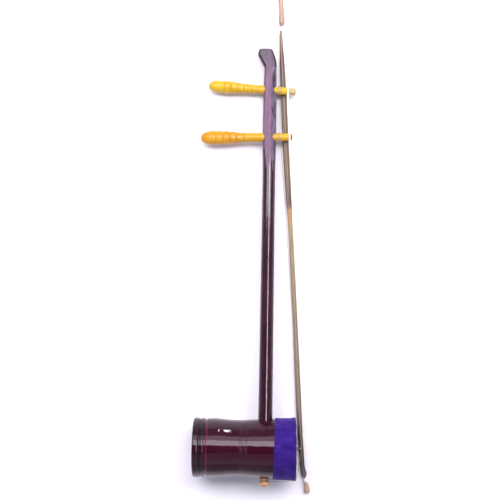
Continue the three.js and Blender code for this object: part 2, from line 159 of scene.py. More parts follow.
# ---- camera ----
def make_camera():
    data = bpy.data.cameras.new("camera")
    data.sensor_width = 36.0
    half_view = math.radians(16.0)
    data.lens = data.sensor_width / 2 / math.tan(half_view)
    data.clip_end = 20
    camera = add_object("camera", data)
    camera.location = (CROSSING.x - 0.0227, CROSSING.y + 0.2501, 1.140)
    camera.rotation_euler = (0, 0, math.radians(0.9))
    scene.camera = camera


# ---- node graphs for materials ----
class Graph:
    """Builds one material's nodes around its Principled shader."""

    def __init__(self, name, roughness, **constants):
        self.material = bpy.data.materials.new(name)
        self.material.use_nodes = True
        self.tree = self.material.node_tree
        self.shader = self.tree.nodes["Principled BSDF"]
        for key, value in dict(constants, Roughness=roughness).items():
            self.shader.inputs[key.replace("_", " ")].default_value = value
        self.coords = self.tree.nodes.new("ShaderNodeTexCoord").outputs["Object"]

    def node(self, kind, inputs=(), **settings):
        return add_node(self.tree, kind, inputs, **settings)

    def stretched(self, scale):
        """Object coordinates multiplied by scale, for grain that runs along one axis."""
        made = self.node("ShaderNodeMapping", {"Vector": self.coords, "Scale": scale})
        return made.outputs["Vector"]

    def noise(self, scale, detail=4.0, roughness=0.55, coords=None, distortion=0.0):
        inputs = {"Vector": coords or self.coords, "Scale": scale, "Detail": detail}
        inputs |= {"Roughness": roughness, "Distortion": distortion}
        return self.node("ShaderNodeTexNoise", inputs).outputs["Fac"]

    def voronoi(self, scale, feature="F1", coords=None):
        inputs = {"Vector": coords or self.coords, "Scale": scale}
        return self.node("ShaderNodeTexVoronoi", inputs, feature=feature).outputs["Distance"]

    def axis(self, letter):
        """One of the piece's own coordinates, in metres."""
        return self.node("ShaderNodeSeparateXYZ", {"Vector": self.coords}).outputs[letter]

    def near(self, letter, place, full, none, most=1.0):
        """`most` within `full` metres of a place along one axis, fading to 0 at `none` metres from it."""
        away = self.math("ABSOLUTE", self.math("SUBTRACT", self.axis(letter), place))
        return self.map(away, full, none, most, 0.0)

    def attribute(self, name):
        return self.node("ShaderNodeAttribute", attribute_name=name).outputs["Fac"]

    def map(self, value, low, high, to_low=0.0, to_high=1.0):
        inputs = {"Value": value, "From Min": low, "From Max": high, "To Min": to_low, "To Max": to_high}
        return self.node("ShaderNodeMapRange", inputs).outputs["Result"]

    def math(self, operation, a, b=0.0):
        return self.node("ShaderNodeMath", {0: a, 1: b}, operation=operation).outputs[0]

    def times(self, a, b):
        return self.math("MULTIPLY", a, b)

    def mix(self, fac, a, b, blend="MIX"):
        a, b = (c if isinstance(c, bpy.types.NodeSocket) else (*c, 1) for c in (a, b))
        inputs = {0: fac, 6: a, 7: b}
        return self.node("ShaderNodeMix", inputs, data_type="RGBA", blend_type=blend).outputs[2]

    def ramp(self, fac, stops):
        """Colours at places from 0 to 1 along fac."""
        made = self.node("ShaderNodeValToRGB", {"Fac": fac})
        elements = made.color_ramp.elements
        while len(elements) < len(stops):
            elements.new(1.0)
        for element, (place, color) in zip(elements, stops):
            element.position = place
            element.color = (*color, 1)
        return made.outputs["Color"]

    def bump(self, height, distance, strength, over=None):
        inputs = {"Height": height, "Distance": distance, "Strength": strength}
        if over is not None:
            inputs["Normal"] = over
        return self.node("ShaderNodeBump", inputs).outputs["Normal"]

    def finish(self, color=None, roughness=None, normal=None, coat_normal=None):
        given = {"Base Color": color, "Roughness": roughness, "Normal": normal, "Coat Normal": coat_normal}
        for key, value in given.items():
            if value is not None:
                self.tree.links.new(value, self.shader.inputs[key])
        return self.material


# ---- mesh helpers ----
def smooth_through(pairs):
    """A smooth curve through (place, value) pairs, read at any place between them."""
    last = len(pairs) - 1

    def slope(k):
        low = pairs[max(k - 1, 0)]
        high = pairs[min(k + 1, last)]
        return (high[1] - low[1]) / (high[0] - low[0])

    def read(place):
        i = next((k for k, (at, _) in enumerate(pairs) if at >= place), last)
        if i == 0:
            return pairs[0][1]
        (x0, y0), (x1, y1) = pairs[i - 1], pairs[i]
        span = x1 - x0
        t = min((place - x0) / span, 1.0)
        rise = (2 * t**3 - 3 * t**2 + 1) * y0 + (3 * t**2 - 2 * t**3) * y1
        return rise + span * ((t**3 - 2 * t**2 + t) * slope(i - 1) + (t**3 - t**2) * slope(i))

    return read


def steps(start, end, spacing):
    """Evenly spaced places from start to end, both included."""
    count = max(1, math.ceil(abs(end - start) / spacing))
    return [start + (end - start) * i / count for i in range(count + 1)]


def lathe_x(profile, sides):
    """Rings round the X axis for (along, radius) pairs."""
    return [[(x, r * math.cos(t), r * math.sin(t)) for t in round_turns(sides)] for x, r in profile]


def lathe_y(profile, sides, start=0.0):
    """Rings round the Y axis for (along, radius) pairs."""
    turns = round_turns(sides, start)
    return [[(r * math.sin(t), y, r * math.cos(t)) for t in turns] for y, r in profile]


def skinned(rings, loop=False):
    """Points and faces over rings of points, joined into a loop or else capped at both ends."""
    count = len(rings[0])
    points = [p for ring in rings for p in ring]
    total = len(rings)
    faces = []
    for i in range(total if loop else total - 1):
        a, b = i * count, (i + 1) % total * count
        for j in range(count):
            k = (j + 1) % count
            faces.append((a + j, a + k, b + k, b + j))
    if not loop:
        faces.append(tuple(range(count)))
        faces.append(tuple(range((total - 1) * count, total * count)))
    return points, faces


def build(name, points, faces, place, sharp_angle=32.0):
    """A mesh object from points in millimetres, its faces turned outwards and shaded smooth."""
    mesh = bpy.data.meshes.new(name)
    mesh.from_pydata([(x * MM, y * MM, z * MM) for x, y, z in points], [], faces)
    made = bmesh.new()
    made.from_mesh(mesh)
    bmesh.ops.recalc_face_normals(made, faces=made.faces)
    made.to_mesh(mesh)
    made.free()
    piece = add_object(name, mesh)
    piece.matrix_world = place
    shade(piece, sharp_angle)
    return piece


def shade(piece, sharp_angle):
    piece.data.shade_smooth()
    piece.data.set_sharp_from_angle(angle=math.radians(sharp_angle))


def evaluated_mesh(piece):
    bpy.context.view_layer.update()
    graph = bpy.context.evaluated_depsgraph_get()
    return bpy.data.meshes.new_from_object(piece.evaluated_get(graph))


def apply_modifiers(piece):
    mesh = evaluated_mesh(piece)
    piece.modifiers.clear()
    piece.data = mesh


def cut_away(piece, cutters, sharp_angle):
    """Cuts other solids from the piece and removes them."""
    for cutter in cutters:
        modifier = piece.modifiers.new("cut", "BOOLEAN")
        modifier.operation = "DIFFERENCE"
        modifier.solver = "EXACT"
        modifier.object = cutter
    apply_modifiers(piece)
    for cutter in cutters:
        bpy.data.objects.remove(cutter)
    shade(piece, sharp_angle)


def round_edges(piece, width, segments, over_angle):
    """Rounds the edges that turn by more than that many degrees."""
    bevel = piece.modifiers.new("rounding", "BEVEL")
    bevel.width = width * MM
    bevel.segments = segments
    bevel.limit_method = "ANGLE"
    bevel.angle_limit = math.radians(over_angle)
    apply_modifiers(piece)
    shade(piece, 40)


def rod_cutter(place, radius, start, end):
    """A plain rod along X, used only to cut a hole."""
    points, faces = skinned(lathe_x([(start, radius), (end, radius)], 96))
    return build("cutter", points, faces, place)


def finish_piece(piece, materials, body, node):
    """Gives a piece its materials, its body and the CAD node it stands for."""
    for material in materials:
        piece.data.materials.append(material)
    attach(piece, body)
    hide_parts(node)


def wire_piece(name, routes, radius, place, resolution):
    """A mesh piece of round wires or hairs of one radius along lists of points."""
    data = bpy.data.curves.new(name, "CURVE")
    data.dimensions = "3D"
    data.bevel_depth = radius * MM
    data.bevel_resolution = resolution
    data.use_fill_caps = True
    for route in routes:
        spline = data.splines.new("POLY")
        spline.points.add(len(route) - 1)
        for point, (x, y, z) in zip(spline.points, route):
            point.co = (x * MM, y * MM, z * MM, 1)
        spline.use_smooth = True
    curve = add_object(name, data)
    mesh = evaluated_mesh(curve)
    bpy.data.objects.remove(curve)
    mesh.shade_smooth()
    piece = add_object(name, mesh)
    piece.matrix_world = place
    return piece


def wobble(x, y, z, size, seed=0.0):
    """A smooth random number from about -1 to 1, changing over that many millimetres."""
    return noise.noise(Vector((x / size + seed, y / size, z / size)))


# ---- sound body ----
# Turned beads at the rear: rear edge, front edge, radius in the middle, how much lower the edges are.
REAR_BEADS = [(REAR_X, -82.5, 37.1, 1.2), (-81.9, -80.5, 36.45, 0.5), (-80.0, -75.8, 36.75, 0.8)]
BEAD_GROOVE_R = 35.1
BEADS_END_X = -74.4  # the body is coloured darker from here back over the beads
WAIST_START_X = -73.4
RUBBED_X = -72.7  # a ring rubbed back to red, just in front of the beads
SCORED_RINGS = [-31.4, -29.6, -27.9, -24.6, -22.8]
body_radius = smooth_through([
    (-73, 36.2), (-62, 36.4), (-50, 35.4), (-38, 34.6), (-28, 34.6), (-15, 35.4), (10, 36.8),
    (BODY_FRONT_X, BODY_FRONT_R),
])


def outer_radius(x):
    for start, end, radius, drop in REAR_BEADS:
        if start <= x <= end:
            across = (2 * x - start - end) / (end - start)
            return radius - drop * across**4
    if x < WAIST_START_X:
        return BEAD_GROOVE_R
    shoulder = 0.9 * math.exp((WAIST_START_X - x) / 0.45)
    scored = sum(0.16 * hump(x, at, 0.22) for at in SCORED_RINGS)
    return body_radius(x) - shoulder - scored


def make_sound_body():
    fine = steps(REAR_X, -71, 0.13) + steps(-70.5, -33, 1.2) + steps(-32.5, -21.5, 0.11)
    outline = [(x, outer_radius(x)) for x in fine + steps(-21, BODY_FRONT_X - 0.3, 1.5)]
    edge = 0.3
    outline += [
        (BODY_FRONT_X, BODY_FRONT_R - edge), (BODY_FRONT_X, BORE_R + edge),
        (BODY_FRONT_X - edge, BORE_R),
    ]
    outline += [(x, BORE_R) for x in steps(30, REAR_X + 5, 10)]
    outline += [(REAR_X + 2.2, BORE_R + 0.5), (REAR_X + 0.5, BORE_R + 1.5), (REAR_X, BORE_R + 2.2)]
    points, faces = skinned(lathe_x(outline, 160), loop=True)
    piece = build("sound_body_shell", points, faces, LEVEL, 40)
    quarter_turn = Matrix.Rotation(math.radians(90), 4, "Z")
    holes = [
        rod_cutter(FIDDLE @ quarter_turn, NECK_R_BODY + 0.3, 18, 48),
        rod_cutter(FIDDLE @ quarter_turn, TAIL_R + 0.3, -48, -18),
    ]
    cut_away(piece, holes, 40)
    finish_piece(piece, [body_lacquer()], "fiddle", "sound_body")


def body_lacquer():
    """Thick maroon lacquer over turned wood, wavy under its gloss, with fine turning marks."""
    g = Graph(
        "body_lacquer", 0.5, Specular_IOR_Level=0.11, Specular_Tint=(1.0, 0.15, 0.4, 1.0),
        Coat_Weight=1.0, Coat_Roughness=0.03, Coat_IOR=1.36,
    )
    cloudy = g.noise(55, 3)
    grain = g.noise(30, 6, coords=g.stretched((1.5, 14, 14)))
    tone = g.math("ADD", g.times(cloudy, 0.6), g.times(grain, 0.4))
    color = g.ramp(tone, [(0.3, (0.008, 0.0003, 0.0025)), (0.7, (0.021, 0.0009, 0.0070))])
    speck = g.map(g.voronoi(620), 0.0, 0.16, 1.0, 0.0)
    color = g.mix(g.times(speck, 0.25), color, (0.035, 0.012, 0.02))
    rubbed = g.near("X", RUBBED_X * MM, 0.0007, 0.0016, 0.75)
    color = g.mix(rubbed, color, (0.11, 0.004, 0.035))
    rear = g.map(g.axis("X"), BEADS_END_X * MM - 0.0006, BEADS_END_X * MM, 0.85, 0.0)
    color = g.mix(rear, color, (0.006, 0.001, 0.003))
    turning = g.noise(1500, 2, coords=g.stretched((1, 0.01, 0.01)))
    waves = g.noise(90, 2)
    lacquer = g.bump(waves, 0.0003, 0.4)
    normal = g.bump(turning, 0.00004, 0.5, over=lacquer)
    roughness = g.map(cloudy, 0.3, 0.7, 0.42, 0.58)
    return g.finish(color, roughness, normal, lacquer)


# ---- snakeskin ----
SCALE_LONG = 3.6
SCALE_WIDE = 2.7


def scale_edge(y, z):
    """0 on the seams between the diamond scales, 1 in the middle of a scale."""
    sway = 0.35 * wobble(y, z, 0, 9)
    p = y / SCALE_LONG + z / SCALE_WIDE + sway
    q = y / SCALE_LONG - z / SCALE_WIDE + sway
    near = min(abs(p - round(p)), abs(q - round(q)))
    return min(near / 0.2, 1.0)


def make_snakeskin():
    inner = BODY_FRONT_R + 0.3
    outer = inner + SKIN_THICK
    lip_x = SKIN_FACE_X - 4
    face = [(SKIN_FACE_X - 0.03, r) for r in steps(0.4, outer - 0.6, 0.5)]
    curl = 0.6  # radius of the skin's turn over the edge
    turns = steps(0.2, 1.57, 0.3)
    edge = [(SKIN_FACE_X - curl + 0.57 * math.cos(a), outer - curl + curl * math.sin(a)) for a in turns]
    outline = face + edge + [(lip_x, outer), (lip_x, inner)]
    outline += [(SKIN_FACE_X - SKIN_THICK, inner), (SKIN_FACE_X - SKIN_THICK, 0.4)]
    rings = []
    for x, r in outline:
        ring = lathe_x([(x, r)], 420)[0]
        if x > SKIN_FACE_X - 0.05:
            ring = [(px - 0.16 * (1 - scale_edge(py, pz)), py, pz) for px, py, pz in ring]
        rings.append(ring)
    points, faces = skinned(rings)
    piece = build("snakeskin_face", points, faces, LEVEL, 60)
    seams = piece.data.attributes.new("scale", "FLOAT", "POINT")
    for at, (_, y, z) in zip(seams.data, points):
        at.value = scale_edge(y, z)
    finish_piece(piece, [snakeskin_look()], "fiddle", "snakeskin")


def snakeskin_look():
    """Dry, pale scales with dark seams and dark blotches in a loose net."""
    g = Graph("snakeskin", 0.45, Specular_IOR_Level=0.4)
    skewed = g.stretched((1, 0.8, 1.0))
    net = g.voronoi(62, "DISTANCE_TO_EDGE", skewed)
    blotch = g.map(net, 0.08, 0.22, 1.0, 0.0)
    ragged = g.times(blotch, g.map(g.noise(320, 3), 0.35, 0.55))
    pale = g.ramp(g.noise(240, 5), [(0.3, (0.33, 0.24, 0.14)), (0.7, (0.56, 0.46, 0.31))])
    color = g.mix(ragged, pale, (0.075, 0.042, 0.026))
    seam = g.map(g.attribute("scale"), 0.0, 0.8, 0.75, 0.0)
    color = g.mix(seam, color, (0.05, 0.032, 0.022))
    normal = g.bump(g.noise(2600, 3), 0.00006, 0.6)
    return g.finish(color, g.map(g.noise(700, 3), 0.3, 0.7, 0.32, 0.55), normal)


# ---- cloth band ----
BAND_PILE = 0.75  # cloth and pile together
BAND_FRONT_X = SKIN_FACE_X - 0.3
BAND_OVERLAP = math.radians(9)
BAND_SEAM = math.radians(-150)  # where its ends overlap, low on the -Y side


def band_edges(turn):
    """Where the rear and front edges run at one turn from +Y: the rear edge was glued a little askew."""
    rear = 11.05 + 1.15 * math.cos(turn) + 0.35 * wobble(20 * turn, 0, 0, 18, 3.1)
    front = BAND_FRONT_X - 0.25 + 0.2 * wobble(20 * turn, 5, 0, 14, 7.7)
    return rear, front


def band_radius(x, turn):
    """The cloth's inner face: over the body and the edge of the skin, looser on the -Y side."""
    over_skin = BODY_FRONT_R + 1.0
    t = clipped((x - (SKIN_FACE_X - 7)) / 3)
    snug = body_radius(x) + 0.12
    base = snug + (over_skin - snug) * eased(t)
    loose = max(0.0, -math.cos(turn)) ** 3
    middle = hump(x, 24, 9)
    folds = 0.12 * wobble(x, 34 * turn, 0, 7, 1.3) + 0.1 * wobble(x * 0.3, 34 * turn, 0, 3.2, 5.9)
    return base + 0.25 * loose * middle + (0.5 + 0.7 * loose) * max(folds, -0.1)


def on_table(point):
    """Lifts a point of the band that would sink into the table up to it."""
    place = LEVEL @ (Vector(point) * MM)
    place.z = max(place.z, 0.00005)
    return tuple(LEVEL.inverted() @ place / MM)


def make_cloth_band():
    start = BAND_SEAM
    end = BAND_SEAM + 2 * math.pi + BAND_OVERLAP
    turns = steps(start, end, math.radians(1.2))
    across = steps(0, 1, 1 / 44)
    rings = []
    for turn in turns:
        rear, front = band_edges(turn)
        lift = BAND_PILE * clipped((turn - (end - BAND_OVERLAP * 1.6)) / (BAND_OVERLAP * 0.6))
        top, under = [], []
        for t in across:
            x = rear + (front - rear) * t
            from_edge = min(t, 1 - t) * (front - rear)
            hem = 0.22 * hump(from_edge, 1.5, 0.7) - 0.12 * hump(from_edge, 2.7, 0.4)
            rounding = 0.55 * math.exp(-from_edge / 0.35)
            base = band_radius(x, turn) + lift
            tall = base + BAND_PILE + hem - rounding
            top.append((x, tall * math.cos(turn), tall * math.sin(turn)))
            under.append((x, base * math.cos(turn), base * math.sin(turn)))
        rings.append([on_table(p) for p in top + under[::-1]])
    points, faces = skinned(rings)
    piece = build("velvet_band", points, faces, LEVEL, 50)
    finish_piece(piece, [velvet()], "fiddle", "cloth_band")


def velvet():
    """Short violet pile that lies in streaks and catches light along its folds."""
    g = Graph(
        "velvet", 0.95, Specular_IOR_Level=0.1, Sheen_Weight=0.45, Sheen_Roughness=0.3,
        Sheen_Tint=(0.5, 0.38, 1.0, 1.0),
    )
    brushed = g.noise(110, 4, coords=g.stretched((0.7, 1.2, 1.2)), distortion=0.4)
    violets = [(0.34, (0.013, 0.0035, 0.09)), (0.5, (0.023, 0.0070, 0.13)), (0.68, (0.037, 0.013, 0.17))]
    color = g.ramp(brushed, violets)
    fibre = g.noise(3600, 2)
    color = g.mix(g.map(fibre, 0.45, 0.75, 0.0, 0.35), color, (0.07, 0.03, 0.25))
    pile = g.bump(g.noise(5200, 2, 0.7), 0.00025, 0.9)
    normal = g.bump(brushed, 0.0007, 0.5, over=pile)
    return g.finish(color, None, normal)


# ---- neck ----
NECK_SIDES = 144
SIDE_FACET = (math.radians(-12), 352.0)
FRONT_FACET = (math.radians(36), 364.0)
neck_radius = smooth_through([
    (34, NECK_R_BODY), (87, 8.9), (147, 8.65), (208, 8.5), (287, 8.25), (352, 8.15), (396, 8.65),
    (445, 8.5), (470, 8.15), (489, 8.1),
])

HEAD_HALF_THICK = 7.3
HEAD_CHAMFER = 2.4
HEAD_START_Y = 470.0
HEAD_FULL_Y = 488.0
head_front = smooth_through([
    (491, 7.9), (494.5, 7.5), (498.6, 6.6), (502.6, 5.2), (506.8, 3.6), (HEAD_TOP_Y, 1.8),
])


def head_rear(y):
    """Its rear edge slopes out from the neck, then in again to the flat top."""
    if y > 504.5:
        return -16.2 + 1.8 * (y - 504.5) / (HEAD_TOP_Y - 504.5)
    return min(-7.6, -8.2 - (y - 489) * 8 / 15.5)


def facet_depth(y, start_y):
    """How far from the neck's axis a planed facet is at y, or None below its start."""
    if y <= start_y:
        return None
    planed = FACET_DEPTH + 0.05 * wobble(0, y, 0, 16, start_y)
    t = clipped((y - start_y) / (PLANING_FULL_Y - start_y))
    unplaned = neck_radius(start_y) + 0.05
    return unplaned + (planed - unplaned) * t


def neck_reach(y, at):
    """From the neck's axis to its surface at y, `at` radians round from +Z."""
    reach = [neck_radius(y)]
    for turn, start_y in (SIDE_FACET, FRONT_FACET):
        depth = facet_depth(y, start_y)
        if depth is not None:
            towards = [math.cos(at - turn), math.cos(at - math.pi + turn)]
            reach += [depth / c for c in towards if c > 0.3]
    return min(reach)


def head_reach(y, at, inset):
    """From the middle of the head's chamfered section at y to its edge."""
    half_width = (head_front(y) - head_rear(y)) / 2 - inset
    half_thick = HEAD_HALF_THICK - inset
    side, up = max(abs(math.sin(at)), 1e-6), max(abs(math.cos(at)), 1e-6)
    return min(half_width / side, half_thick / up, (half_width + half_thick - HEAD_CHAMFER) / (side + up))


def neck_ring(y, inset=0.0):
    """The neck's section at y, which turns into the head's from HEAD_START_Y up."""
    share = eased(clipped((y - HEAD_START_Y) / (HEAD_FULL_Y - HEAD_START_Y)))
    middle = share * (head_front(y) + head_rear(y)) / 2
    ring = []
    for at in round_turns(NECK_SIDES):
        r = (1 - share) * neck_reach(y, at) + share * head_reach(y, at, inset)
        ring.append((middle + r * math.sin(at), y, r * math.cos(at)))
    return ring


def make_neck():
    lower = [(TAIL_END_Y, TAIL_R), (-30, TAIL_R), (-30, NECK_INNER_R), (30, NECK_INNER_R), (30, NECK_R_BODY)]
    rings = lathe_y(lower, NECK_SIDES)
    rings += [neck_ring(y) for y in steps(34, 348, 3) + steps(350, 392, 0.7) + steps(394, HEAD_START_Y, 1.6)]
    rings += [neck_ring(y) for y in steps(HEAD_START_Y + 1, HEAD_TOP_Y - 1.2, 1.0)]
    rings.append(neck_ring(HEAD_TOP_Y, 1.2))
    points, faces = skinned(rings)
    piece = build("neck_and_head", points, faces, FIDDLE, 24)
    holes = [
        rod_cutter(UPPER_PEG, UPPER_PEG_HOLE_R, -30, 30),
        rod_cutter(LOWER_PEG, LOWER_PEG_HOLE_R, -30, 30),
    ]
    cut_away(piece, holes, 24)
    lacquers = [neck_lacquer(), planed_lacquer(), edge_lacquer()]
    finish_piece(piece, lacquers, "fiddle", "neck")
    mark_planed_faces(piece.data)


def mark_planed_faces(mesh):
    """The planed facets, and the neck above them, have the thinner lacquer, lighter partly as painted
    reflection; the head's chamfers have painted shade.
    """
    normals = []
    for turn, _ in (SIDE_FACET, FRONT_FACET):
        for at in (turn, math.pi - turn):
            normals.append(Vector((math.sin(at), 0, math.cos(at))))
    for face in mesh.polygons:
        y = face.center.y / MM
        flat = any(face.normal.dot(n) > 0.9965 for n in normals)
        # The head's chamfers, picked by how steeply they face up, get painted shade.
        if y > HEAD_FULL_Y - 1 and 0.3 < abs(face.normal.z) < 0.9:
            face.material_index = 2
        elif y > ALL_PLANED_Y or (y > SIDE_FACET[1] and flat):
            face.material_index = 1


def neck_lacquer():
    """Dark red-brown lacquer, glossy, a little wavy, with the wood's streaks showing through."""
    g = Graph(
        "neck_lacquer", 0.4, Specular_IOR_Level=0.08, Coat_Weight=1.0, Coat_Roughness=0.09,
        Coat_IOR=1.42,
    )
    streaks = g.noise(70, 6, coords=g.stretched((6, 0.35, 6)))
    blots = g.noise(60, 3)
    tone = g.math("ADD", g.times(streaks, 0.7), g.times(blots, 0.3))
    color = g.ramp(tone, [(0.34, (0.008, 0.0010, 0.004)), (0.66, (0.036, 0.0028, 0.012))])
    waves = g.bump(g.noise(120, 2, coords=g.stretched((1, 0.4, 1))), 0.0005, 0.4)
    normal = g.bump(g.noise(900, 3, coords=g.stretched((3, 0.12, 3))), 0.00005, 0.5, over=waves)
    return g.finish(color, g.map(blots, 0.3, 0.7, 0.25, 0.42), normal, waves)


def edge_lacquer():
    """Painted shade on the head's broken edges: a dark, mottled colour for the faces that turn away from the
    light.
    """
    g = Graph("edge_lacquer", 0.6, Specular_IOR_Level=0.12, Coat_Weight=0.1, Coat_Roughness=0.4, Coat_IOR=1.4)
    patches = g.noise(170, 4)
    tones = [(0.35, (0.010, 0.005, 0.009)), (0.6, (0.035, 0.022, 0.032)), (0.72, (0.08, 0.05, 0.07))]
    color = g.ramp(patches, tones)
    bumpy = g.bump(patches, 0.0001, 0.6)
    return g.finish(color, g.map(patches, 0.3, 0.7, 0.42, 0.6), bumpy, bumpy)


def planed_lacquer():
    """The planed flats: thinner, duller lacquer over bare knife marks, lighter than the neck partly for that
    finish and partly as painted reflection; painted reflection on the front facet and painted shade on the
    head.
    """
    g = Graph(
        "planed_lacquer", 0.5, Specular_IOR_Level=0.2, Coat_Weight=0.25, Coat_Roughness=0.3,
        Coat_IOR=1.4,
    )
    streaks = g.noise(60, 7, 0.65, coords=g.stretched((5, 0.3, 5)))
    # Lighter than the neck's lacquer: partly the thinner finish, partly painted reflection.
    tones = [(0.3, (0.085, 0.036, 0.070)), (0.5, (0.145, 0.070, 0.122)), (0.72, (0.18, 0.095, 0.16))]
    color = g.ramp(streaks, tones)
    dark = g.map(g.noise(160, 5, 0.7, coords=g.stretched((1, 0.3, 1))), 0.46, 0.62)
    patchy = g.map(g.axis("X"), 0.0, 0.004, 0.35, 0.85)
    # Painted reflection: the front facet is tinted bluish grey for the room it faces.
    front = g.map(g.axis("X"), 0.0012, 0.0022)
    color = g.mix(g.times(front, 0.75), color, (0.130, 0.112, 0.150))
    # Painted shade: the head is darker towards its top, for faces turned away from the light.
    head = g.map(g.axis("Y"), 0.474, 0.500, 0.0, 0.8)
    color = g.mix(head, color, (0.062, 0.046, 0.064))
    color = g.mix(g.times(dark, patchy), color, (0.03, 0.014, 0.022))
    on_ridge = g.near("X", RIDGE_X * MM, 0.0006, 0.0018)
    near_peg = g.near("Y", WORN_RIDGE_Y * MM, 0.010, 0.022)
    worn = g.map(g.noise(230, 4, coords=g.stretched((1, 0.4, 1))), 0.36, 0.5)
    streak = g.times(g.times(on_ridge, near_peg), worn)
    color = g.mix(g.times(streak, 0.85), color, (0.02, 0.010, 0.018))
    knife = g.bump(g.noise(420, 3, coords=g.stretched((1, 0.18, 1))), 0.00012, 0.7)
    return g.finish(color, g.map(streaks, 0.3, 0.7, 0.3, 0.55), knife, knife)


# ---- tail knob ----
def make_tail_knob():
    """An eight-sided turned-and-cut knob over the end of the neck's tail."""
    socket_end = TAIL_END_Y - 0.4
    profile = [
        (socket_end, TAIL_R + 0.3), (-37.1, TAIL_R + 0.3), (-37.1, 6.0), (-38.4, 6.2), (-38.9, 4.8),
        (-41.2, 4.8), (-42.0, 7.1), (-43.6, 7.15), (-45.6, 6.5), (-47.1, 5.1), (-47.6, 4.3),
    ]
    rings = lathe_y(profile, 8, math.radians(22.5))
    points, faces = skinned(rings)
    piece = build("tail_knob_wood", points, faces, FIDDLE, 20)
    round_edges(piece, 0.28, 3, 18)
    finish_piece(piece, [bare_wood()], "fiddle", "tail_knob")


def bare_wood():
    """Pale wood with end grain, darker in patches at random."""
    g = Graph("bare_wood", 0.5, Specular_IOR_Level=0.4)
    grain = g.noise(260, 6, 0.6, coords=g.stretched((5, 0.5, 5)))
    color = g.ramp(grain, [(0.3, (0.34, 0.17, 0.06)), (0.55, (0.55, 0.33, 0.15)), (0.75, (0.68, 0.50, 0.28))])
    stain = g.map(g.noise(230, 4), 0.5, 0.66)
    color = g.mix(g.times(stain, 0.6), color, (0.17, 0.08, 0.05))
    normal = g.bump(grain, 0.00012, 0.6)
    return g.finish(color, g.map(grain, 0.3, 0.7, 0.42, 0.62), normal)


# ---- pegs ----
# Half outlines as (distance along the peg, radius), handle end first; the neck's axis is at zero.
UPPER_OUTLINE = [
    (-79.7, 0), (-78.8, 3.0), (-76, 5.5), (-72.5, 7.1), (-67, 7.7), (-61, 7.9), (-55, 8.15),
    (-48, 7.6), (-38, 6.6), (-30, 6.25), (-20, 5.7), (-12, 5.2), (-8, 5.0), (9, 4.85), (20, 4.8),
    (29, 4.7), (32, 4.3), (33.3, 2.8), (33.6, 0),
]
UPPER_GROOVES = [-58.9, -50.5, -41.5, -33.2, -28.5, -23.3, -16]
LOWER_OUTLINE = [
    (-88.4, 0), (-87.8, 3.1), (-85.5, 5.7), (-80.5, 7.9), (-74.2, 8.85), (-66, 8.7), (-56, 8.4),
    (-46, 7.6), (-36, 6.4), (-24, 5.9), (-12, 5.7), (-8, 5.55), (9, 5.15), (20, 4.9), (26, 4.75),
    (28.5, 4.1), (29.6, 2.6), (29.9, 0),
]
LOWER_GROOVES = [-68.8, -59.8, -50.8, -42.4, -32.7]
GROOVE_DEPTH = 0.6
GROOVE_WIDTH = 0.6
# Three tones of the lacquer, then where along the peg the tip's colour begins and that colour.
UPPER_TONES = [(0.42, 0.21, 0.006), (0.54, 0.33, 0.010), (0.60, 0.41, 0.03), 26.2, (0.42, 0.32, 0.12)]
LOWER_TONES = [(0.40, 0.14, 0.003), (0.52, 0.23, 0.005), (0.58, 0.30, 0.012), 27.6, (0.11, 0.09, 0.07)]


def smooth_outline(outline):
    """A smooth curve through an outline that meets the axis squarely at both ends."""
    first, last = outline[1], outline[-2]
    points = [(first[0], -first[1]), *outline, (last[0], -last[1])]
    per_span = 10
    curve = []
    for a, b, c, d in zip(points, points[1:], points[2:], points[3:]):
        for i in range(per_span):
            t = i / per_span
            weights = (-t + 2 * t**2 - t**3, 2 - 5 * t**2 + 3 * t**3, t + 4 * t**2 - 3 * t**3, t**3 - t**2)
            curve.append(tuple(0.5 * sum(w * p[k] for w, p in zip(weights, (a, b, c, d))) for k in (0, 1)))
    return curve[1:]


def peg_radius(outline, x):
    i = next(k for k, (at, _) in enumerate(outline) if at > x)
    (x0, r0), (x1, r1) = outline[i - 1], outline[i]
    return r0 + (r1 - r0) * (x - x0) / (x1 - x0)


def make_peg(name, node, body, place, outline, grooves, tones):
    profile = []
    for x, r in smooth_outline(outline):
        cut = sum(GROOVE_DEPTH * hump(x, at, GROOVE_WIDTH) for at in grooves)
        profile.append((x, max(r - cut, 0.05)))
    for at in grooves:
        for offset in (-1.2, -0.8, -0.5, -0.25, 0.25, 0.5, 0.8, 1.2):
            x = at + offset
            cut = GROOVE_DEPTH * hump(offset, 0, GROOVE_WIDTH)
            profile.append((x, peg_radius(outline, x) - cut))
    profile.sort()
    points, faces = skinned(lathe_x(profile, 96))
    piece = build(name, points, faces, place, 45)
    grooved = piece.data.attributes.new("groove", "FLOAT", "POINT")
    for at, (x, _, _) in zip(grooved.data, points):
        at.value = sum(hump(x, g, 0.4) for g in grooves)
    finish_piece(piece, [peg_lacquer(name + "_lacquer", *tones)], body, node)


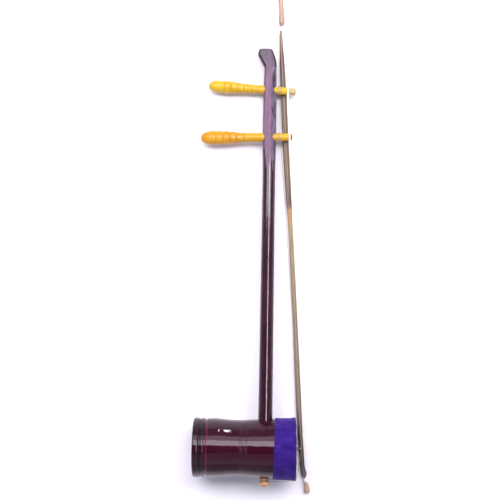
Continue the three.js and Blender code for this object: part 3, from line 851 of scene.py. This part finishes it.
def peg_lacquer(name, thick, middling, thin, tip_at, tip):
    """Yellow lacquer over turned wood in three tones, dark in the grooves, with another colour at the tip."""
    g = Graph(name, 0.4, Specular_IOR_Level=0.15, Coat_Weight=0.42, Coat_Roughness=0.1, Coat_IOR=1.4)
    grain = g.noise(45, 6, coords=g.stretched((0.5, 7, 7)))
    cloud = g.noise(40, 3)
    tone = g.math("ADD", g.times(grain, 0.5), g.times(cloud, 0.5))
    color = g.ramp(tone, [(0.33, thick), (0.5, middling), (0.68, thin)])
    color = g.mix(g.map(g.axis("X"), -0.045, -0.012, 0.0, 0.55), color, (0.55, 0.36, 0.014))
    color = g.mix(g.times(g.attribute("groove"), 0.42), color, (0.20, 0.065, 0.004))
    color = g.mix(g.map(g.axis("X"), tip_at * MM - 0.0006, tip_at * MM + 0.0006), color, tip)
    specks = g.map(g.voronoi(420), 0.0, 0.12, 1.0, 0.0)
    color = g.mix(g.times(specks, 0.5), color, (0.33, 0.12, 0.01))
    rings = g.noise(900, 2, coords=g.stretched((1, 0.02, 0.02)))
    normal = g.bump(rings, 0.00006, 0.5, over=g.bump(g.noise(140, 2), 0.0002, 0.3))
    return g.finish(color, g.map(cloud, 0.3, 0.7, 0.24, 0.4), normal)


# ---- strings ----
def make_winding(name, node, body, place, outline, start_x, radius, side):
    """Turns of string side by side round a peg; the wire comes out of the peg and ends at its `side`."""
    route = []
    count = 48 * WINDING_TURNS
    for i in range(count + 1):
        turned = i / 48
        x = start_x + turned * 2 * radius * 1.02
        angle = side * math.pi / 2 - side * 2 * math.pi * (WINDING_TURNS - turned)
        sunk = 1.6 * max(0.0, 1 - turned / 0.12)
        r = peg_radius(outline, x) + radius + 0.02 - sunk
        route.append((x, r * math.cos(angle), r * math.sin(angle)))
    piece = wire_piece(name, [route], radius, place, 4)
    gilt = wound_wire("gilt_wire", (0.42, 0.29, 0.08), (0.56, 0.41, 0.14))
    finish_piece(piece, [gilt], body, node)


def make_string(name, node, peg_y, outline, start_x, wound_r, side, loop_y):
    radius = wound_r * TAUT_SHARE
    over_bridge = BRIDGE_FOOT_X + BRIDGE_HEIGHT + radius - 0.12
    spread = side * STRING_SPREAD
    begin = start_x + (WINDING_TURNS + 0.6) * 2 * wound_r
    side_z = peg_radius(outline, begin) + wound_r + 1.0
    edge_x, edge_y = SKIN_FACE_X + 0.35 + radius, -BAND_R - 0.35 - radius
    loop_r = 4.95 + radius
    route = [
        (begin, peg_y - 2, side * side_z), (over_bridge, BRIDGE_THICK * 0.25, spread),
        (over_bridge, -BRIDGE_THICK * 0.25, spread), (edge_x + 0.3, edge_y + 1.2, spread),
        (edge_x, edge_y + 0.3, spread), (edge_x - 0.5, edge_y, spread), (0, loop_y, side * loop_r),
    ]
    turns = steps(0, 2 * math.pi, 0.15)
    loop = [(-loop_r * math.sin(t), loop_y + 0.25 * t / math.pi, side * loop_r * math.cos(t)) for t in turns]
    piece = wire_piece(name, [route + loop], radius, FIDDLE, 4)
    dull = wound_wire("dull_wire", (0.16, 0.13, 0.09), (0.30, 0.25, 0.17))
    finish_piece(piece, [dull], "fiddle", node)


def wound_wire(name, dark, light):
    """Steel wound with thin wire: fine rings along it."""
    if name in bpy.data.materials:
        return bpy.data.materials[name]
    g = Graph(name, 0.5, Metallic=0.25, Specular_IOR_Level=0.3)
    along = g.noise(1400, 2, coords=g.stretched((0.3, 1, 0.3)))
    color = g.ramp(along, [(0.3, dark), (0.7, light)])
    normal = g.bump(along, 0.00004, 0.6)
    return g.finish(color, g.map(along, 0.3, 0.7, 0.2, 0.38), normal)


# ---- bridge ----
def bridge_half_width(height):
    """Half the bridge's width at one height: wide feet that sweep in to a narrow top."""
    return smooth_through([(0, 8), (1.3, 7.5), (2.4, 5.2), (3.8, 3.9), (BRIDGE_HEIGHT, 3.5)])(height)


def make_bridge():
    """Its outline stands in Z and X; it is thinner at the top, and arched between two feet."""
    heights = steps(0, BRIDGE_HEIGHT, 0.45)
    right = [(bridge_half_width(h), h) for h in heights]
    left = [(-w, h) for w, h in reversed(right)]
    arch = [(3.1 * math.cos(a), 2.6 * math.sin(a)) for a in steps(math.pi, 0, 0.26)]
    outline = right + left + arch
    rings = []
    for side in (-1, 1):
        ring = []
        for z, h in outline:
            half = BRIDGE_THICK / 2 * (1 - 0.45 * h / BRIDGE_HEIGHT)
            notch = 0.35 * hump(abs(z), STRING_SPREAD, 0.4) if h > BRIDGE_HEIGHT - 0.1 else 0
            ring.append((BRIDGE_FOOT_X + h - notch, side * half, z))
        rings.append(ring)
    points, faces = skinned(rings)
    piece = build("bridge_wood", points, faces, FIDDLE, 30)
    round_edges(piece, 0.22, 2, 50)
    finish_piece(piece, [dark_wood()], "fiddle", "bridge")


def dark_wood():
    g = Graph("dark_wood", 0.4, Coat_Weight=0.2, Coat_Roughness=0.3)
    grain = g.noise(420, 5, coords=g.stretched((4, 4, 0.6)))
    color = g.ramp(grain, [(0.3, (0.012, 0.007, 0.006)), (0.7, (0.06, 0.03, 0.02))])
    return g.finish(color, g.map(grain, 0.3, 0.7, 0.32, 0.5), g.bump(grain, 0.0001, 0.5))


# ---- bow stick ----
stick_reach = smooth_through([
    (BOW_HEEL_Y, 56.3), (-55, 55.8), (-48, 53.6), (-40, 51.9), (-22, 49.2), (4, 46.9), (36, 44.6),
    (82, 42), (135, 39.2), (187, 36), (239, 32.4), (291, 28.7), (330, 25.7), (382, 22.1),
    (447, 18.2), (486, 15.9), (512, 14.6), (535, 13.9), (559, 13.7), (BOW_TIP_Y, 11.6),
])
cane_radius = smooth_through([
    (BOW_HEEL_Y, 3.6), (-60, 4), (-35, 3.7), (0, 3.2), (36, 3.5), (110, 3.75), (187, 3.45),
    (250, 3), (291, 3), (302, 3.3), (312, 3.6), (382, 3.95), (447, 3.7), (468, 3.5), (512, 2.8),
    (535, 2.8), (548, 3.7), (560, 3.1), (BOW_TIP_Y, 2.8),
])
NODE_Y = 306.5


def stick_radius(y):
    """The cane's radius, with its node's ridge and the waists where the hair is tied."""
    ridge = 0.5 * hump(y, NODE_Y, 1.1) - 0.22 * hump(y, NODE_Y - 3.4, 0.9)
    radius = cane_radius(y) + ridge
    for start, end, below in (*TIP_NOTCH, NOTCH_SHOULDER), (*HEEL_NOTCH, HEEL_WEDGE):
        outside = max((start - y) / below, (y - end) / NOTCH_SHOULDER, 0)
        if outside < 1:
            radius = NOTCH_R + (radius - NOTCH_R) * outside**0.8
    return radius


def stick_ring(y, shrink=0.0):
    lean = math.atan2(stick_reach(y + 0.5) - stick_reach(y - 0.5), 1.0)
    centre = Vector((stick_reach(y), y, cane_radius(y)))
    across = Vector((math.cos(lean), -math.sin(lean), 0))
    ring = []
    for t in round_turns(40):
        r = stick_radius(y) - shrink
        r += 0.05 * wobble(3 * math.cos(t), y / 12, 3 * math.sin(t), 1.6)
        r = min(r, cane_radius(y) + 0.4 * max(0.0, math.sin(t) + 0.3))
        point = centre + across * (r * math.cos(t)) + Vector((0, 0, r * math.sin(t)))
        ring.append(tuple(point))
    return ring


def make_bow_stick():
    places = steps(BOW_HEEL_Y + 0.5, BOW_TIP_Y - 0.5, 0.9)
    rings = [stick_ring(BOW_HEEL_Y + 0.06, 0.5)]
    rings += [stick_ring(y) for y in places]
    rings.append(stick_ring(BOW_TIP_Y - 0.06, 0.5))
    points, faces = skinned(rings)
    piece = build("bow_cane", points, faces, BOW, 50)
    finish_piece(piece, [bamboo()], "bow", "bow_stick")


# The cane's colours along it, as (distance along the bow, colour).
CANE_COLORS = [
    (-64.6, (0.44, 0.265, 0.18)), (-50, (0.44, 0.265, 0.18)), (-44, (0.08, 0.065, 0.06)),
    (-30, (0.026, 0.021, 0.022)), (10, (0.042, 0.032, 0.031)), (48, (0.180, 0.141, 0.093)),
    (110, (0.208, 0.164, 0.086)), (200, (0.252, 0.199, 0.098)), (262, (0.319, 0.259, 0.118)),
    (283, (0.334, 0.256, 0.098)), (286, (0.415, 0.224, 0.065)), (305.5, (0.426, 0.235, 0.072)),
    (307.5, (0.0711, 0.0383, 0.0223)), (335, (0.119, 0.065, 0.029)), (350, (0.139, 0.091, 0.032)),
    (430, (0.113, 0.068, 0.021)), (500, (0.126, 0.066, 0.029)), (528, (0.186, 0.117, 0.0563)),
    (546, (0.36, 0.24, 0.143)), (582.5, (0.4, 0.27, 0.166)),
]


def bamboo():
    """Aged cane: long fibres, a dark node, a scorched bend and pale cut ends."""
    g = Graph("bamboo", 0.4, Coat_Weight=0.25, Coat_Roughness=0.25)
    low, high = BOW_HEEL_Y, BOW_TIP_Y
    drift = g.times(g.math("SUBTRACT", g.noise(160, 4), 0.5), 0.012)
    along = g.map(g.math("ADD", g.axis("Y"), drift), low * MM, high * MM)
    color = g.ramp(along, [((y - low) / (high - low), c) for y, c in CANE_COLORS])
    fibres = g.noise(520, 5, 0.6, coords=g.stretched((3, 0.05, 3)))
    color = g.mix(g.map(fibres, 0.42, 0.62, 0.0, 0.5), color, (0.35, 0.3, 0.25), "OVERLAY")
    smudge = g.map(g.noise(75, 4, coords=g.stretched((1, 0.3, 1))), 0.5, 0.7, 0.0, 0.55)
    color = g.mix(smudge, color, (0.45, 0.4, 0.38), "MULTIPLY")
    normal = g.bump(fibres, 0.0001, 0.7)
    return g.finish(color, g.map(fibres, 0.3, 0.7, 0.34, 0.55), normal)


# ---- bow hair and its ties ----
THREAD_PITCH = 0.55
THREAD_R = 0.3
BINDING_CENTRE_R = 2.3


def make_binding(name, node, notch, seed):
    """Thread wound in close turns over the hair and the notch, a little uneven."""
    start, end = notch
    middle = (start + end) / 2
    lean = math.atan2(stick_reach(end) - stick_reach(start), end - start)
    centre_x = (stick_reach(start) + stick_reach(end)) / 2
    turn_in = Matrix.Rotation(-lean, 4, "Z")
    place = BOW @ Matrix.Translation((centre_x * MM, middle * MM, cane_radius(middle) * MM)) @ turn_in
    half = (end - start) / 2
    sides = 72
    rings = []
    for y in steps(-half + 0.05, half - 0.05, THREAD_PITCH / 8):
        ring = []
        for j in range(sides):
            phase = y / THREAD_PITCH + j / sides
            u = 2 * (phase - math.floor(phase)) - 1
            t = 2 * math.pi * j / sides
            r = BINDING_CENTRE_R - 0.12 + THREAD_R * math.sqrt(max(1 - u * u, 0.0))
            r += 0.12 * wobble(3 * math.cos(t), 3 * y, 3 * math.sin(t), 2.5, seed)
            r -= 0.35 * max(0.0, abs(y) - half + 0.5)
            ring.append((r * math.sin(t), y, r * math.cos(t)))
        rings.append(ring)
    bore = [(half - 0.05, NOTCH_R + 0.25), (-half + 0.05, NOTCH_R + 0.25)]
    rings += lathe_y(bore, sides)
    points, faces = skinned(rings, loop=True)
    piece = build(name, points, faces, place, 80)
    finish_piece(piece, [thread()], "bow", node)


def thread():
    if "cotton_thread" in bpy.data.materials:
        return bpy.data.materials["cotton_thread"]
    g = Graph("cotton_thread", 0.8, Sheen_Weight=0.4, Sheen_Roughness=0.4)
    twist = g.noise(2600, 3, coords=g.stretched((1, 2.5, 1)))
    color = g.ramp(twist, [(0.3, (0.62, 0.58, 0.52)), (0.7, (0.9, 0.88, 0.84))])
    return g.finish(color, None, g.bump(twist, 0.00012, 0.8))


HAIRS = 96
HANK_HALF_WIDTH = 0.95
HANK_AT_LOWER_PEG_X = 25.8
HANK_AT_UPPER_PEG_X = 22.8
HAIR_R = 0.075


def peg_top(place, outline, x):
    """The bow-frame height of a peg's upper side where the hair lies over it."""
    to_bow = BOW.inverted() @ place
    best = max(
        (to_bow @ (Vector((reach, 0, 0)) * MM) for reach in steps(14, outline[-1][0] - 0.5, 0.25)),
        key=lambda p: -abs(p.x / MM - x),
    )
    reach = (place.inverted() @ BOW @ best).x / MM
    return best.z / MM + peg_radius(outline, reach)


def hank_stops():
    """Where the middle of the hank runs: heel tie, lower peg, upper peg, tip tie."""
    heel_y, tip_y = HEEL_NOTCH[1] - 0.8, TIP_NOTCH[0] + 0.8
    lower = (BOW.inverted() @ LOWER_PEG_POS).y / MM
    upper = (BOW.inverted() @ UPPER_PEG_POS).y / MM
    return [
        (stick_reach(heel_y) + 1.5, heel_y, cane_radius(heel_y) + 1.2),
        (HANK_AT_LOWER_PEG_X, lower, peg_top(LOWER_PEG, LOWER_OUTLINE, HANK_AT_LOWER_PEG_X - 1.1) + 0.2),
        (HANK_AT_UPPER_PEG_X, upper, peg_top(UPPER_PEG, UPPER_OUTLINE, HANK_AT_UPPER_PEG_X - 1.1) + 0.2),
        (stick_reach(tip_y) + 1.4, tip_y, cane_radius(tip_y) + 1.3),
    ]


def hair_route(stops, rng):
    """One hair: it keeps its place in the hank, and strays a little between the stops."""
    side = rng.uniform(-1, 1)
    height = rng.random() ** 1.6
    stray = rng.uniform(-0.35, 0.35)
    lift = rng.uniform(0, 0.35)
    route = []
    for i, (a, b) in enumerate(zip(stops, stops[1:])):
        count = 26 if i == 0 else 8
        for k in range(count):
            t = k / count
            x, y, z = (a[n] + (b[n] - a[n]) * t for n in range(3))
            tied = min(1.0, 0.35 + abs(y - stops[0][1]) / 40, 0.35 + abs(y - stops[-1][1]) / 25)
            belly = math.sin(math.pi * t)
            x += side * HANK_HALF_WIDTH * tied + stray * belly
            z += height * 0.6 * tied + lift * belly
            route.append((x, y, z))
    x, y, z = stops[-1]
    route.append((x + side * HANK_HALF_WIDTH * 0.35, y, z + height * 0.2))
    return route


def make_bow_hair():
    rng = random.Random(7)
    stops = hank_stops()
    routes = [hair_route(stops, rng) for _ in range(HAIRS)]
    piece = wire_piece("hair_hank", routes, HAIR_R, BOW, 1)
    finish_piece(piece, [horsehair()], "bow", "bow_hair")


def horsehair():
    g = Graph("horsehair", 0.35, Sheen_Weight=0.3, Sheen_Roughness=0.4)
    tone = g.noise(700, 3, coords=g.stretched((4, 0.1, 4)))
    color = g.ramp(tone, [(0.3, (0.80, 0.77, 0.70)), (0.7, (0.95, 0.94, 0.91))])
    return g.finish(color, g.map(tone, 0.3, 0.7, 0.3, 0.5))


# ---- studio ----
WALLS = (0.42, 0.41, 0.50, 1)
CORNERS = (0.78, 0.77, 0.95, 1)
CEILING = (0.08, 0.08, 0.10, 1)


def area_light(name, location, tilt, size, radiance, color):
    """A rectangular light of (width, height) facing down, tipped towards -Y, that gives that radiance."""
    data = bpy.data.lights.new(name, "AREA")
    data.shape = "RECTANGLE"
    data.size, data.size_y = size
    data.energy = radiance * math.pi * size[0] * size[1]
    data.color = color
    light = add_object(name, data)
    light.location = location
    light.rotation_euler = (-tilt, 0, 0)


def make_world():
    """A dim room with paler corners, dark right overhead."""
    world = bpy.data.worlds.new("studio")
    scene.world = world
    world.use_nodes = True
    tree = world.node_tree

    def added(kind, inputs, **settings):
        return add_node(tree, kind, inputs, **settings).outputs

    direction = tree.nodes.new("ShaderNodeTexCoord").outputs["Generated"]
    parts = added("ShaderNodeSeparateXYZ", {0: direction})
    across = added("ShaderNodeMath", {0: parts["X"], 1: parts["Y"]}, operation="MULTIPLY")[0]
    size = added("ShaderNodeMath", {0: across}, operation="ABSOLUTE")[0]
    corner = added("ShaderNodeMapRange", {0: size, 1: 0.06, 2: 0.22})[0]
    sides = added("ShaderNodeMix", {0: corner, 6: WALLS, 7: CORNERS}, data_type="RGBA")[2]
    height = added("ShaderNodeMapRange", {0: parts["Z"], 1: 0.72, 2: 0.90})[0]
    room = added("ShaderNodeMix", {0: height, 6: sides, 7: CEILING}, data_type="RGBA")[2]
    tree.links.new(room, tree.nodes["Background"].inputs["Color"])


def make_floor():
    size = 3.0
    mesh = bpy.data.meshes.new("floor")
    corners = [(-size, -size, 0), (size, -size, 0), (size, size, 0), (-size, size, 0)]
    mesh.from_pydata(corners, [], [(0, 1, 2, 3)])
    floor = add_object("floor", mesh)
    floor.location.z = -0.0003
    g = Graph("floor_white", 0.9, Base_Color=(0.86, 0.86, 0.87, 1), Specular_IOR_Level=0.0)
    mesh.materials.append(g.material)


def lamp_at(name, degrees, size, radiance, color, distance=1.6, shift=0.0):
    """A light facing the sound body, that many degrees down from overhead towards +Y."""
    tilt = math.radians(degrees)
    place = CROSSING + Vector((shift, math.sin(tilt) * distance, math.cos(tilt) * distance))
    area_light(name, place, tilt, size, radiance, color)


def make_studio():
    make_world()
    make_floor()
    lamp_at("softbox", 29.8, size=(2.4, 0.55), radiance=9.2, color=(1.0, 0.95, 1.04))
    lamp_at("softbox_skirt", 49, size=(2.4, 0.51), radiance=2.9, color=(1.0, 0.90, 1.02))
    lamp_at("pale_wall", -33, size=(2.4, 1.4), radiance=0.6, color=(1.0, 0.72, 1.0))
    lamp_at("tube", 83, size=(0.03, 0.36), radiance=40.0, color=(1.0, 1.0, 1.0), distance=2.0, shift=0.12)
    above_neck = CROSSING + Vector((0.36, 0.30, 1.6))
    area_light("strip", above_neck, tilt=0, size=(0.32, 0.9), radiance=21.0, color=(1.0, 0.90, 0.98))
    for name in ("pale_wall", "strip"):  # these add shine only
        bpy.data.objects[name].visible_diffuse = False
    scene.view_settings.view_transform = "Standard"


make_camera()
make_studio()
make_sound_body()
make_snakeskin()
make_cloth_band()
make_neck()
make_tail_knob()
make_peg("upper_peg_wood", "upper_peg", "upper_peg", UPPER_PEG, UPPER_OUTLINE, UPPER_GROOVES, UPPER_TONES)
make_peg("lower_peg_wood", "lower_peg", "lower_peg", LOWER_PEG, LOWER_OUTLINE, LOWER_GROOVES, LOWER_TONES)
# Each string: its peg, where its turns begin along the peg, its radius, and its side of the neck.
INNER = (UPPER_OUTLINE, 9.6, INNER_STRING_R, -1)
OUTER = (LOWER_OUTLINE, 10.6, OUTER_STRING_R, 1)
make_winding("inner_string_turns", "inner_string_winding", "upper_peg", UPPER_PEG, *INNER)
make_winding("outer_string_turns", "outer_string_winding", "lower_peg", LOWER_PEG, *OUTER)
make_string("inner_string_wire", "inner_string", UPPER_PEG_Y, *INNER, -39.5)
make_string("outer_string_wire", "outer_string", LOWER_PEG_Y, *OUTER, -40.6)
make_bridge()
make_bow_stick()
make_binding("tip_binding_thread", "bow_tip_binding", TIP_NOTCH, 2.0)
make_binding("heel_binding_thread", "bow_heel_binding", HEEL_NOTCH, 9.0)
make_bow_hair()
